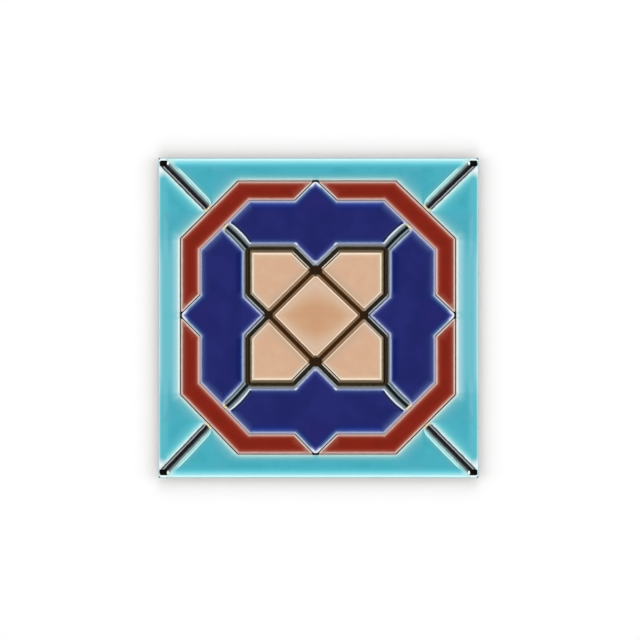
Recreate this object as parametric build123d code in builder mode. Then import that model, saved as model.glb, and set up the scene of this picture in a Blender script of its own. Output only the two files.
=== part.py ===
from build123d import *
from math import atan2, copysign, cos, degrees, radians, sin
import os

os.makedirs("parts", exist_ok=True)

# A square pressed tile, all sizes in millimetres. Its bed face lies at z = 0 and its glazed face looks up.
# The glazed face carries seventeen shallow glaze pools, parted by bare channels that draw an
# interlaced star: a diamond, four kites, four arrow-ended panels, an octagonal band and a border.

# Body
side = 200.0
thickness = 10.0
pool_height = 0.7
plan_corner_radius = 0.8
face_edge_round = 0.5
upright_band = 3.0
flank_lean = 0.6
bed_edge_bevel = 1.0

# Key pattern pressed into the bed face, so that the mortar holds
key_cells = 8
key_margin = 9.0
key_rib_width = 5.0
key_depth = 1.2
key_draft_angle = 30.0

# Middle of the star, a little left of and above the middle of the tile
star_middle_x = -1.85
star_middle_y = 1.7

# Lines of the pattern, measured from its middle before each quarter is stretched to the tile's edges
border_width = 14.5
band_width = 12.1
outer_corner_cut = 36.3
inner_corner_cut = 31.5
arrow_tip_half_width = 1.2
star_half_width = 42.9
diamond_half_width = 29.8

# The lines above and below the middle lie a little closer to it than those at its sides
row_pull = 0.4

# How far the glaze keeps back from the middle of each line
edge_gap = 0.6
thin_line_gap = 0.65
star_gap_outside = 2.7
star_gap_inside = 2.7
notch_gap_outside = 2.4
notch_gap_inside = 3.1
diamond_gap_outside = 2.9
diamond_gap_inside = 2.6
corner_gap_beside = 3.1
corner_gap_above = 2.9

# The links from the star to the band lie closer to the top and bottom fields, which curve away from them
link_gap_beside = 3.2
link_gap_above = 2.4
link_bow_above = 0.8

# Grooves sunk in the floors of the wide lines, for the dark glaze
groove_depth = 0.3
star_groove_width = 2.2
link_groove_width = 1.8
corner_groove_width = 2.0
corner_groove_end_gap = 2.4
corner_cup_length = 4.2
corner_cup_width = 3.4
corner_cup_edge_gap = 1.0

# Edges of the glaze
pool_corner_radius = 0.8
pool_edge_bevel = 0.35

# Worked-out places, still measured from the middle of the pattern
half = side / 2
body_height = thickness - pool_height
outer_flat = half - border_width
inner_flat = outer_flat - band_width
outer_corner = outer_flat - outer_corner_cut
inner_corner = inner_flat - inner_corner_cut
outer_cut_middle = (outer_flat + outer_corner) / 2
inner_cut_middle = (inner_flat + inner_corner) / 2
arrow_foot = outer_flat - inner_flat + arrow_tip_half_width
notch_mouth = star_half_width - diamond_half_width
star_corner = (star_half_width, star_half_width)
star_mouth_above = (notch_mouth, star_half_width)
star_mouth_beside = (star_half_width, notch_mouth)
diamond_tip_above = (0, diamond_half_width)
diamond_tip_beside = (diamond_half_width, 0)
band_inside = (inner_cut_middle, inner_cut_middle)
band_outside = (outer_cut_middle, outer_cut_middle)
body_sections = [
    (0, side - 2 * (flank_lean + bed_edge_bevel)),
    (bed_edge_bevel, side - 2 * flank_lean),
    (body_height - upright_band, side),
    (body_height, side),
]
key_pitch = (side - 2 * key_margin + key_rib_width) / key_cells
key_cell_width = key_pitch - key_rib_width


def laid(point, quarter_turns):
    """Turn a point of the even pattern, pull its row in, then stretch its quarter to the tile's edges."""
    angle = radians(90 * quarter_turns)
    x = point[0] * cos(angle) - point[1] * sin(angle)
    y = point[0] * sin(angle) + point[1] * cos(angle)
    if abs(y) < half - 1:
        y -= copysign(row_pull * min(abs(y) / diamond_half_width, 1), y)
    reach_x = half - copysign(star_middle_x, x * star_middle_x)
    reach_y = half - copysign(star_middle_y, y * star_middle_y)
    return Vector(star_middle_x + x * reach_x / half, star_middle_y + y * reach_y / half)


def pulled_in(corners, gaps):
    """Corners of the pool in a cell of lines, each side moved in by the gap of the same number."""
    pool = []
    for number, corner in enumerate(corners):
        arriving = (corner - corners[number - 1]).normalized()
        leaving = (corners[(number + 1) % len(corners)] - corner).normalized()
        gap_arriving = gaps[number - 1]
        gap_leaving = gaps[number]
        turn = arriving.X * leaving.Y - arriving.Y * leaving.X
        along_arriving = gap_arriving / turn
        along_leaving = gap_leaving / turn
        pool.append(corner + leaving * along_arriving - arriving * along_leaving)
    return pool


def pool_outline(sides, quarter_turns):
    """Edges of one pool, anticlockwise. Each side is its first corner, its gap and its bow."""
    corners = [laid(corner, quarter_turns) for corner, gap, bow in sides]
    gaps = [gap for corner, gap, bow in sides]
    bows = [bow for corner, gap, bow in sides]
    pool = pulled_in(corners, gaps)
    with BuildLine() as outline:
        for number, start in enumerate(pool):
            end = pool[(number + 1) % len(pool)]
            if bows[number] > 0:
                inwards = (end - start).normalized().rotate(Axis.Z, 90)
                ThreePointArc(start, (start + end) / 2 + inwards * bows[number], end)
            else:
                Line(start, end)
    return outline.edges()


def diamond_sides():
    """The middle field."""
    tip = diamond_half_width
    return [
        ((tip, 0), diamond_gap_inside, 0),
        ((0, tip), diamond_gap_inside, 0),
        ((-tip, 0), diamond_gap_inside, 0),
        ((0, -tip), diamond_gap_inside, 0),
    ]


def kite_sides():
    """A point of the star, between two of its notches."""
    return [
        ((diamond_half_width, 0), notch_gap_inside, 0),
        ((star_half_width, notch_mouth), star_gap_inside, 0),
        ((star_half_width, star_half_width), star_gap_inside, 0),
        ((notch_mouth, star_half_width), notch_gap_inside, 0),
        ((0, diamond_half_width), diamond_gap_outside, 0),
    ]


def panel_sides(link_gap, link_bow):
    """The field between the star and the band, with an arrow point that reaches through the band."""
    return [
        ((arrow_tip_half_width, outer_flat), thin_line_gap, 0),
        ((-arrow_tip_half_width, outer_flat), thin_line_gap, 0),
        ((-arrow_foot, inner_flat), thin_line_gap, 0),
        ((-inner_corner, inner_flat), thin_line_gap, 0),
        ((-inner_cut_middle, inner_cut_middle), link_gap, link_bow),
        ((-star_half_width, star_half_width), star_gap_outside, 0),
        ((-notch_mouth, star_half_width), notch_gap_outside, 0),
        ((0, diamond_half_width), notch_gap_outside, 0),
        ((notch_mouth, star_half_width), star_gap_outside, 0),
        ((star_half_width, star_half_width), link_gap, link_bow),
        ((inner_cut_middle, inner_cut_middle), thin_line_gap, 0),
        ((inner_corner, inner_flat), thin_line_gap, 0),
        ((arrow_foot, inner_flat), thin_line_gap, 0),
    ]


def band_sides():
    """A corner of the octagonal band, cut off at 45 degrees by two arrow points."""
    return [
        ((inner_flat, arrow_foot), thin_line_gap, 0),
        ((outer_flat, arrow_tip_half_width), thin_line_gap, 0),
        ((outer_flat, outer_corner), thin_line_gap, 0),
        ((outer_corner, outer_flat), thin_line_gap, 0),
        ((arrow_tip_half_width, outer_flat), thin_line_gap, 0),
        ((arrow_foot, inner_flat), thin_line_gap, 0),
        ((inner_corner, inner_flat), thin_line_gap, 0),
        ((inner_flat, inner_corner), thin_line_gap, 0),
    ]


def border_sides(corner_gap):
    """The field between the octagon and one edge of the tile."""
    return [
        ((outer_corner, outer_flat), thin_line_gap, 0),
        ((outer_cut_middle, outer_cut_middle), corner_gap, 0),
        ((half, half), edge_gap, 0),
        ((-half, half), corner_gap, 0),
        ((-outer_cut_middle, outer_cut_middle), thin_line_gap, 0),
        ((-outer_corner, outer_flat), thin_line_gap, 0),
    ]


def groove_bar(start, end, quarter_turns, width):
    """Edges of a straight groove between two points of the even pattern, with square ends beyond them."""
    laid_start = laid(start, quarter_turns)
    laid_end = laid(end, quarter_turns)
    ahead = (laid_end - laid_start).normalized() * (width / 2)
    aside = ahead.rotate(Axis.Z, 90)
    corners = [
        laid_start - ahead - aside,
        laid_end + ahead - aside,
        laid_end + ahead + aside,
        laid_start - ahead + aside,
    ]
    with BuildLine() as outline:
        Polyline(corners, close=True)
    return outline.edges()


with BuildPart() as tile:
    # Body, with a bevel round its bed face, sides that lean out and an upright band below the glazed face
    for height, width in body_sections:
        with BuildSketch(Plane.XY.offset(height)):
            RectangleRounded(width, width, plan_corner_radius)
    loft(ruled=True)
    fillet(tile.faces().sort_by(Axis.Z)[-1].edges(), face_edge_round)

    # Key pattern in the bed face
    with BuildSketch(Plane.XY):
        with GridLocations(key_pitch, key_pitch, key_cells, key_cells):
            Rectangle(key_cell_width, key_cell_width)
    extrude(amount=key_depth, taper=key_draft_angle, mode=Mode.SUBTRACT)

    # Grooves of the star, of its links to the band and of the corners
    with BuildSketch(Plane.XY.offset(body_height)):
        for quarter in range(4):
            make_face(groove_bar(star_corner, star_mouth_above, quarter, star_groove_width))
            make_face(groove_bar(star_mouth_beside, star_corner, quarter, star_groove_width))
            make_face(groove_bar(star_mouth_above, diamond_tip_above, quarter, star_groove_width))
            make_face(groove_bar(star_mouth_beside, diamond_tip_beside, quarter, star_groove_width))
            make_face(groove_bar(diamond_tip_beside, diamond_tip_above, quarter, star_groove_width))
            make_face(groove_bar(star_corner, band_inside, quarter, link_groove_width))
    extrude(amount=-groove_depth, mode=Mode.SUBTRACT)
    with BuildSketch(Plane.XY.offset(body_height)):
        for quarter in range(4):
            outwards = laid((half, half), quarter) - laid(band_outside, quarter)
            groove_start = laid(band_outside, quarter) + outwards.normalized() * corner_groove_end_gap
            cup_x = copysign(half - corner_cup_edge_gap - corner_cup_length / 2, outwards.X)
            cup_y = copysign(half - corner_cup_edge_gap - corner_cup_width / 2, outwards.Y)
            groove = Vector(cup_x, cup_y) - groove_start
            with Locations(groove_start + groove / 2):
                SlotCenterToCenter(groove.length, corner_groove_width, rotation=degrees(atan2(groove.Y, groove.X)))
            with Locations((cup_x, cup_y)):
                SlotOverall(corner_cup_length, corner_cup_width)
    extrude(amount=-groove_depth, mode=Mode.SUBTRACT)

    # Glaze pools
    with BuildSketch(Plane.XY.offset(body_height)) as pools:
        make_face(pool_outline(diamond_sides(), 0))
        for quarter in range(4):
            is_above = quarter % 2 == 0
            corner_gap = corner_gap_above if is_above else corner_gap_beside
            link_gap = link_gap_above if is_above else link_gap_beside
            link_bow = link_bow_above if is_above else 0
            make_face(pool_outline(kite_sides(), quarter))
            make_face(pool_outline(panel_sides(link_gap, link_bow), quarter))
            make_face(pool_outline(band_sides(), quarter))
            make_face(pool_outline(border_sides(corner_gap), quarter))
        fillet(pools.vertices(), pool_corner_radius)
    extrude(amount=pool_height)
    chamfer(tile.faces().group_by(Axis.Z)[-1].edges(), pool_edge_bevel)

tile.part.label = "tile"
export_step(tile.part, "parts/tile.step")
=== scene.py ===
import math

import bpy
import numpy as np
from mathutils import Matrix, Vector, geometry, noise


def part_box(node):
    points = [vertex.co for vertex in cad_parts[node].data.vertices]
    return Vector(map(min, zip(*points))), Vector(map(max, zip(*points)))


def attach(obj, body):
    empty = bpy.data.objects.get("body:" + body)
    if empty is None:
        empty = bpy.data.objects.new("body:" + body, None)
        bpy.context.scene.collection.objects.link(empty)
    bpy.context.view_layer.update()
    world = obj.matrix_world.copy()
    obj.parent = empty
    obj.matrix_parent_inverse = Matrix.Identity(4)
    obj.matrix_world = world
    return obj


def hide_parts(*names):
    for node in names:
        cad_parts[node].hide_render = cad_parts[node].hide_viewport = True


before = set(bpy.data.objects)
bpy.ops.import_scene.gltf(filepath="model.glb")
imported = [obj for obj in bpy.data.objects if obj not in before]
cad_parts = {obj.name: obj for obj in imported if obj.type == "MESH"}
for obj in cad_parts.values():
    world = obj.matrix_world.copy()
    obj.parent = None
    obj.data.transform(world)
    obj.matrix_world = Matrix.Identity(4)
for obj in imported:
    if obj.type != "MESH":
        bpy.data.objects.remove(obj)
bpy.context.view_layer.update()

# Sizes of the tile, in millimetres as in its construction. Meshes are made in millimetres and scaled last.
MM = 0.001
lowest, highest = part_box("tile")
side = (highest.x - lowest.x) / MM
thickness = (highest.z - lowest.z) / MM
pool_height = 0.7
plan_corner_radius = 0.8
face_edge_round = 0.5
upright_band = 3.0
flank_lean = 0.6
bed_edge_bevel = 1.0

# Key pattern in the bed face
key_cells = 8
key_margin = 9.0
key_rib_width = 5.0
key_depth = 1.2
key_draft = 0.7
key_corner_radius = 1.4

# Pattern lines, from the middle of the star
star_middle_x = -1.85
star_middle_y = 1.7
border_width = 14.5
band_width = 12.1
outer_corner_cut = 36.3
inner_corner_cut = 31.5
arrow_tip_half_width = 1.2
star_half_width = 42.9
diamond_half_width = 29.8
row_pull = 0.4
unpulled_edge = 1.0

# Gaps between the lines and the glaze pools
edge_gap = 0.6
thin_line_gap = 0.65
star_gap_outside = 2.7
star_gap_inside = 2.7
notch_gap_outside = {"above": 2.15, "beside": 2.85}
notch_gap_inside = {"above": 3.45, "beside": 2.7}
diamond_gap_outside = 2.9
diamond_gap_inside = 2.6
corner_gap = {"above": 2.9, "beside": 3.1}
link_gap = {"above": 2.4, "beside": 3.2}
link_bow = {"above": 0.8, "beside": 0}

# Grooves in the floors of the wide lines
groove_depth = 0.3
star_groove_width = 2.2
link_groove_width = 1.8
corner_groove_width = 2.0
corner_groove_end_gap = 2.4
corner_cup_length = 4.2
corner_cup_width = 3.4
corner_cup_edge_gap = 1.0

# Pale lines beside the corner lines, partly painted highlight; knots at the diamond's tips; painted
# highlights at the notches' mouths
pale_line_start = 4.0
pale_line_bow = 0.4
pale_line_close = 1.5
pale_line_close_share = 0.11
pale_line_taper = 1.0
pale_line_taper_share = 0.7
knot_sink = 0.8
knot_reach_above = (4.5, 3.1)
knot_reach_beside = (3.0, 2.7)
painted_glint_shift = (-0.7, 2.3)
far_away = 1e9

# Worked-out places
half = side / 2
ledge_z = thickness - pool_height
outer_flat = half - border_width
inner_flat = outer_flat - band_width
outer_corner = outer_flat - outer_corner_cut
inner_corner = inner_flat - inner_corner_cut
outer_cut_middle = (outer_flat + outer_corner) / 2
inner_cut_middle = (inner_flat + inner_corner) / 2
arrow_foot = outer_flat - inner_flat + arrow_tip_half_width
notch_mouth = star_half_width - diamond_half_width
star_corner = (star_half_width, star_half_width)
mouth_above = (notch_mouth, star_half_width)
mouth_beside = (star_half_width, notch_mouth)
tip_above = (0, diamond_half_width)
tip_beside = (diamond_half_width, 0)
band_inside = (inner_cut_middle, inner_cut_middle)
band_outside = (outer_cut_middle, outer_cut_middle)


# Pattern

def laid(point, quarter):
    """Turn a point of the even pattern, pull its row in and stretch its quarter to the tile's edges."""
    angle = math.pi / 2 * quarter
    x = point[0] * math.cos(angle) - point[1] * math.sin(angle)
    y = point[0] * math.sin(angle) + point[1] * math.cos(angle)
    if abs(y) < half - unpulled_edge:
        y -= math.copysign(row_pull * min(abs(y) / diamond_half_width, 1), y)
    reach_x = half - math.copysign(star_middle_x, x * star_middle_x)
    reach_y = half - math.copysign(star_middle_y, y * star_middle_y)
    return np.array([star_middle_x + x * reach_x / half, star_middle_y + y * reach_y / half])


def unit(vector):
    return vector / np.linalg.norm(vector)


def left_of(direction):
    return np.array([-direction[1], direction[0]])


# Sides of the pools, each as (the corner it starts from, its gap, its inward bow if any)

def diamond_sides():
    tip = diamond_half_width
    return [(corner, diamond_gap_inside) for corner in ((tip, 0), (0, tip), (-tip, 0), (0, -tip))]


def kite_sides(first_notch, last_notch):
    return [(tip_beside, notch_gap_inside[first_notch]), (mouth_beside, star_gap_inside),
            (star_corner, star_gap_inside), (mouth_above, notch_gap_inside[last_notch]),
            (tip_above, diamond_gap_outside)]


def panel_sides(place):
    thin = thin_line_gap
    tip = arrow_tip_half_width
    notch = notch_gap_outside[place]
    link = (link_gap[place], link_bow[place])
    return [((tip, outer_flat), thin), ((-tip, outer_flat), thin), ((-arrow_foot, inner_flat), thin),
            ((-inner_corner, inner_flat), thin), ((-inner_cut_middle, inner_cut_middle), *link),
            ((-star_half_width, star_half_width), star_gap_outside), ((-notch_mouth, star_half_width), notch),
            (tip_above, notch), (mouth_above, star_gap_outside), (star_corner, *link), (band_inside, thin),
            ((inner_corner, inner_flat), thin), ((arrow_foot, inner_flat), thin)]


def band_sides():
    tip = arrow_tip_half_width
    corners = [(inner_flat, arrow_foot), (outer_flat, tip), (outer_flat, outer_corner)]
    mirrored = [(y, x) for x, y in reversed(corners)]
    inner_cut = [(inner_corner, inner_flat), (inner_flat, inner_corner)]
    return [(corner, thin_line_gap) for corner in corners + mirrored + inner_cut]


def border_sides(place):
    thin = thin_line_gap
    corner = corner_gap[place]
    return [((outer_corner, outer_flat), thin), (band_outside, corner), ((half, half), edge_gap),
            ((-half, half), corner), ((-outer_cut_middle, outer_cut_middle), thin),
            ((-outer_corner, outer_flat), thin)]


def make_pool(kind, sides, quarter):
    return {
        "kind": kind,
        "corners": [laid(each[0], quarter) for each in sides],
        "gaps": [each[1] for each in sides],
        "bows": [each[2] if len(each) > 2 else 0 for each in sides],
    }


def make_pools():
    pools = [make_pool("diamond", diamond_sides(), 0)]
    for quarter in range(4):
        place, other = ("above", "beside") if quarter % 2 == 0 else ("beside", "above")
        pools.append(make_pool("kite", kite_sides(other, place), quarter))
        pools.append(make_pool("panel_" + place, panel_sides(place), quarter))
        pools.append(make_pool("band", band_sides(), quarter))
        pools.append(make_pool("border_" + place, border_sides(place), quarter))
    return pools


def pulled_in(pool, inset):
    """Corners of a pool's outline, moved in by its gaps and by the inset."""
    corners = pool["corners"]
    found = []
    for number, corner in enumerate(corners):
        arriving = unit(corner - corners[number - 1])
        leaving = unit(corners[(number + 1) % len(corners)] - corner)
        turn = arriving[0] * leaving[1] - arriving[1] * leaving[0]
        gap_arriving = pool["gaps"][number - 1] + inset
        gap_leaving = pool["gaps"][number] + inset
        found.append(corner + (leaving * gap_arriving - arriving * gap_leaving) / turn)
    return found


# Outlines of the pools, ring within ring

pool_corner_radius = 0.7
tightest_radius = 0.12
most_trim = 0.4
side_spacing = 1.6
corner_steps = 5
bow_steps = 8


def ring(pool, inset):
    """Points of a pool's outline at an inset. Every inset gives as many points, in the same order."""
    corners = pulled_in(pool, inset)
    plain = pulled_in(pool, 0)
    count = len(corners)
    after = [(i + 1) % count for i in range(count)]
    lengths = [np.linalg.norm(corners[after[i]] - corners[i]) for i in range(count)]
    directions = [(corners[after[i]] - corners[i]) / lengths[i] for i in range(count)]
    trims = []
    for i in range(count):
        last, now = directions[i - 1], directions[i]
        turn = math.atan2(last[0] * now[1] - last[1] * now[0], last @ now)
        radius = max(pool_corner_radius - np.sign(turn) * inset, tightest_radius)
        longest = most_trim * min(lengths[i], lengths[i - 1])
        trims.append(min(radius * math.tan(abs(turn) / 2), longest))

    def place(i, share):
        bow = 4 * pool["bows"][i] * left_of(directions[i])
        return corners[i] + directions[i] * lengths[i] * share + bow * share * (1 - share)

    points = []
    for i in range(count):
        steps = max(2, round(np.linalg.norm(plain[after[i]] - plain[i]) / side_spacing))
        for share in np.linspace(trims[i] / lengths[i], 1 - trims[after[i]] / lengths[i], steps + 1):
            points.append(place(i, share))
        arrive = points[-1]
        corner = corners[after[i]]
        leave = place(after[i], trims[after[i]] / lengths[after[i]])
        for share in np.arange(1, corner_steps) / corner_steps:
            points.append(arrive * (1 - share) ** 2 + corner * 2 * share * (1 - share) + leave * share ** 2)
    return np.array(points)


def coarse_outline(pool):
    """A pool's outline in a few straight edges, to measure distances from."""
    corners = pulled_in(pool, 0)
    points = []
    for number, corner in enumerate(corners):
        after = corners[(number + 1) % len(corners)]
        bow = pool["bows"][number]
        points.append(corner)
        if bow > 0:
            inwards = left_of(unit(after - corner))
            for share in np.arange(1, bow_steps) / bow_steps:
                points.append(corner + (after - corner) * share + inwards * 4 * bow * share * (1 - share))
    return np.array(points)


# Distances, all in millimetres

def from_segment(points, start, end):
    """Where along a segment each point lies, as a share, and its distance from the segment."""
    along = end - start
    share = np.clip((points - start) @ along / (along @ along), 0, 1)
    away = points - start - share[:, None] * along
    return share, np.hypot(away[:, 0], away[:, 1])


def distance_to_segments(points, segments):
    return np.min([from_segment(points, start, end)[1] for start, end in segments], axis=0)


def distance_to_outline(points, outline):
    return distance_to_segments(points, zip(outline, np.roll(outline, -1, axis=0)))


def distance_to_kinds(points, kinds):
    outlines = [pool["coarse"] for pool in POOLS if pool["kind"] in kinds]
    return np.min([distance_to_outline(points, outline) for outline in outlines], axis=0)


def distance_to_places(points, places):
    return np.min([np.hypot(*(points - place).T) for place in places], axis=0)


def inside_outline(points, outline):
    inside = np.zeros(len(points), bool)
    for (ax, ay), (bx, by) in zip(outline, np.roll(outline, -1, axis=0)):
        crosses = (ay > points[:, 1]) != (by > points[:, 1])
        slope = (bx - ax) / (by - ay) if by != ay else 0
        inside ^= crosses & (points[:, 0] < ax + (points[:, 1] - ay) * slope)
    return inside


# Half the width of each family of lines
WIDE_FAMILIES = {"flat_level": 2.7, "flat_upright": 2.7, "notch": 2.7, "diamond": 2.7,
                 "link": 2.8, "corner": 3.0}
THIN_FAMILIES = dict.fromkeys(("octagon_level", "octagon_upright", "octagon_cut",
                               "inner_level", "inner_upright", "inner_cut", "arrow"), thin_line_gap)
FAMILIES = {**WIDE_FAMILIES, **THIN_FAMILIES}


def make_lines():
    """Middle lines of the pattern by family, each a list of (start, end)."""
    lines = {name: [] for name in FAMILIES}
    for quarter in range(4):
        run, other_run = ("_level", "_upright") if quarter % 2 == 0 else ("_upright", "_level")
        pairs = [("flat" + run, star_corner, mouth_above), ("flat" + other_run, mouth_beside, star_corner),
                 ("notch", mouth_above, tip_above), ("notch", mouth_beside, tip_beside),
                 ("diamond", tip_beside, tip_above), ("link", star_corner, band_inside),
                 ("octagon_cut", (outer_flat, outer_corner), (outer_corner, outer_flat)),
                 ("inner_cut", (inner_flat, inner_corner), (inner_corner, inner_flat)),
                 ("octagon" + run, (outer_corner, outer_flat), (-outer_corner, outer_flat))]
        for sign in (-1, 1):
            foot = (sign * arrow_foot, inner_flat)
            pairs.append(("inner" + run, foot, (sign * inner_corner, inner_flat)))
            pairs.append(("arrow", foot, (sign * arrow_tip_half_width, outer_flat)))
        for family, start, end in pairs:
            lines[family].append((laid(start, quarter), laid(end, quarter)))
        outer = laid(band_outside, quarter)
        lines["corner"].append((outer, np.copysign(half, outer)))
    return lines


def make_grooves():
    """Grooves as (start, end, width), with round ends."""
    grooves = []
    for family in ("flat_level", "flat_upright", "notch", "diamond", "link"):
        width = link_groove_width if family == "link" else star_groove_width
        grooves.extend((start, end, width) for start, end in LINES[family])
    for start, tile_corner in LINES["corner"]:
        cup_half = np.array([corner_cup_length, corner_cup_width]) / 2
        cup = tile_corner - np.sign(tile_corner) * (corner_cup_edge_gap + cup_half)
        reach = np.array([cup_half[0] - cup_half[1], 0])
        grooves.append((start + unit(tile_corner - start) * corner_groove_end_gap, cup, corner_groove_width))
        grooves.append((cup - reach, cup + reach, corner_cup_width))
    return grooves


def groove_distance(points):
    """Distance outside the nearest groove's edge, negative inside it."""
    return np.min([from_segment(points, start, end)[1] - width / 2 for start, end, width in GROOVES], axis=0)


def pale_line_distance(points):
    """Distance beyond the bowed pale line that runs beside each corner line, in the fields above and below.
    The line is partly painted highlight.
    """
    nearest = np.full(len(points), far_away)
    beyond = nearest
    for start, end in LINES["corner"]:
        share, distance = from_segment(points, start, end)
        pale_line = pale_line_start + 4 * pale_line_bow * share * (1 - share)
        pale_line -= pale_line_close * smooth(pale_line_close_share, 0.0, share)
        pale_line -= pale_line_taper * smooth(pale_line_taper_share, 1.0, share)
        beyond = np.where(distance < nearest, distance - pale_line, beyond)
        nearest = np.minimum(nearest, distance)
    return beyond


def knot_distance(points):
    """Distance from the knots at the diamond's tips, 1 at their edge. The upper and lower ones are wider."""
    found = []
    for quarter in range(4):
        sink, reach = (0, knot_reach_beside) if quarter % 2 else (knot_sink, knot_reach_above)
        middle = laid((0, diamond_half_width - sink), quarter)
        found.append(np.hypot(*((points - middle) / reach).T))
    return np.min(found, axis=0)


LINES = make_lines()
GROOVES = make_grooves()
POOLS = make_pools()
for each in POOLS:
    each["coarse"] = coarse_outline(each)


# Heights of the glazed face

pool_round = 0.5
pool_dip = 0.10
pool_dip_reach = 3.5
ledge_ridge = 0.09
ridge_place = 0.95
ridge_width = 0.28
foot_groove = 0.06
foot_place = 0.35
foot_width = 0.22
groove_slope = (0.18, -0.35)
thin_line_rise = 0.38
thin_line_cut = 0.12
thin_cut_slope = (0.35, 0.1)
swells = ((0.035, 11.0), (0.012, 4.0))
swell_slope = (0.3, 2.5)


def smooth(low, high, value):
    share = np.clip((value - low) / (high - low), 0, 1)
    return share * share * (3 - 2 * share)


def pool_heights(rim):
    """Height of the glaze at a distance inside its pool's edge: a quarter-round bank, then a shallow dish."""
    bank = np.sqrt(1 - (1 - np.clip(rim / pool_round, 0, 1)) ** 2)
    return ledge_z + pool_height * bank - pool_dip * smooth(pool_round, pool_dip_reach, rim)


def ledge_heights(pool_distance, groove, thin, to_line):
    """Height of the bare floor. Wide lines have a ridge, a foot and a groove, thin ones a fine cut."""
    ridge = ledge_ridge * np.exp(-((pool_distance - ridge_place) / ridge_width) ** 2) * (1 - thin)
    foot = foot_groove * np.exp(-((pool_distance - foot_place) / foot_width) ** 2) * (1 - thin)
    sink = groove_depth * smooth(*groove_slope, groove)
    fine = thin * (thin_line_rise - thin_line_cut * smooth(*thin_cut_slope, to_line))
    return ledge_z + ridge - foot - sink + fine


def wavy(points, amount, size, seed):
    """Slow unevenness of a hand-laid glaze."""
    offset = Vector((seed * 17.3, seed * 5.1, seed * 9.7))
    return np.array([amount * noise.noise(Vector((x / size, y / size, 0)) + offset) for x, y in points])


# Mesh assembly

class Builder:
    """Collects the points and faces of one mesh, the distance of each point inside its pool's rim, with -1
    outside the pools, and the material slot of each face."""

    def __init__(self):
        self.points = np.zeros((0, 2))
        self.rims = np.zeros(0)
        self.faces = []
        self.slots = []

    def add(self, points, rims=-1):
        first = len(self.points)
        self.points = np.concatenate([self.points, points])
        self.rims = np.append(self.rims, np.broadcast_to(rims, len(points)))
        return np.arange(first, len(self.points))

    def face(self, corners, slot):
        self.faces.append(tuple(int(c) for c in corners))
        self.slots.append(slot)

    def strip(self, outer, inner, slot):
        """Quads between two closed rings of equal length, both anticlockwise, the outer one first."""
        for quad in zip(outer, np.roll(outer, -1), np.roll(inner, -1), inner):
            self.face(quad, slot)

    def fill(self, loops, others, slot, inside=False, step=1):
        """Triangles over the points of the loops and the others, within the loops or around them. With a step
        of -1 they face down."""
        numbers = np.concatenate(loops + others)
        lasts = np.cumsum([len(loop) for loop in loops])
        edges = [list(range(last - len(loop), last)) for loop, last in zip(loops, lasts)]
        coords = [Vector(point) for point in self.points[numbers]]
        found = geometry.delaunay_2d_cdt(coords, [], edges, 0, merge_reach, True)
        triangles, origins, loops_around = found[2], found[3], found[5]
        for triangle, around in zip(triangles, loops_around):
            if bool(around) == inside:
                self.face(numbers[[origins[corner][0] for corner in triangle]][::step], slot)


pool_insets = (0.0, 0.04, 0.12, 0.24, 0.38, 0.55, 0.8, 1.2, 1.8)
inner_spacing = 1.6
outer_offsets = (0.14, 0.3, 0.5, 0.75, 1.0, 1.3, 1.65, 2.0, 2.4, 2.8)
groove_offsets = (0.15, -0.1, -0.35, -0.7)
line_spacing = 0.7
least_gap = 0.2
least_radius = 0.1
ring_slack = 0.03
pool_clearance = 0.09
edge_clearance = 0.06
grid_row_share = 0.866
grid_edge_share = 0.45
merge_reach = 1e-6


def grid_points(outline, spacing):
    """Points of a triangular grid inside an outline, clear of its edge."""
    low = outline.min(0)
    high = outline.max(0)
    grid = []
    for row, y in enumerate(np.arange(low[1], high[1], spacing * grid_row_share)):
        xs = np.arange(low[0] + (row % 2) * spacing / 2, high[0], spacing)
        grid.append(np.stack([xs, np.full(len(xs), y)], 1))
    points = np.concatenate(grid)
    points = points[inside_outline(points, outline)]
    return points[distance_to_outline(points, outline) > spacing * grid_edge_share]


def thinned(points, taken, gap):
    """Keep the points, in order, that stay a gap away from each other and from those taken."""
    cells = {}
    kept = []
    for number, point in enumerate(np.concatenate([taken, points]).tolist()):
        column, row = int(point[0] // gap), int(point[1] // gap)
        around = [cells.get((column + i, row + j), ()) for i in (-1, 0, 1) for j in (-1, 0, 1)]
        is_taken = number < len(taken)
        if is_taken or not any(math.dist(other, point) < gap for cell in around for other in cell):
            cells.setdefault((column, row), []).append(point)
            if not is_taken:
                kept.append(point)
    return np.array(kept)


def along_segment(start, end, spacing):
    steps = max(1, round(np.linalg.norm(end - start) / spacing))
    return start + np.linspace(0, 1, steps + 1)[:, None] * (end - start)


def capsule(start, end, radius, spacing):
    """Points round a segment at a radius."""
    axes = np.stack([unit(end - start), left_of(unit(end - start))])
    aside = axes[1] * radius
    angles = np.linspace(-math.pi / 2, math.pi / 2, max(4, round(math.pi * radius / spacing)) + 1)
    turned = np.stack([np.cos(angles), np.sin(angles)], 1) * radius @ axes
    return np.concatenate([along_segment(start + aside, end + aside, spacing),
                           along_segment(start - aside, end - aside, spacing), end + turned, start - turned])


def spread(points, spacing):
    """Points along a closed ring at a spacing."""
    closed = np.concatenate([points, points[:1]])
    steps = np.linalg.norm(np.diff(closed, axis=0), axis=1)
    reach = np.concatenate([[0], np.cumsum(steps)])
    places = np.linspace(0, reach[-1], max(8, round(reach[-1] / spacing)), endpoint=False)
    return np.stack([np.interp(places, reach, closed[:, 0]), np.interp(places, reach, closed[:, 1])], 1)


def rounded_square(half_width, radius, straight_steps):
    """Anticlockwise outline of a rounded square."""
    flat = half_width - radius
    quarter_points = [(half_width, y) for y in np.linspace(-flat, flat, straight_steps + 1)[:-1]]
    for bend in math.pi / 2 * np.array([0, 0.25, 0.5, 0.75]):
        quarter_points.append((flat + radius * math.cos(bend), flat + radius * math.sin(bend)))
    points = []
    for angle in math.pi / 2 * np.arange(4):
        turned = np.array([[math.cos(angle), math.sin(angle)], [-math.sin(angle), math.cos(angle)]])
        points.append(np.array(quarter_points) @ turned)
    return np.concatenate(points)


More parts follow.
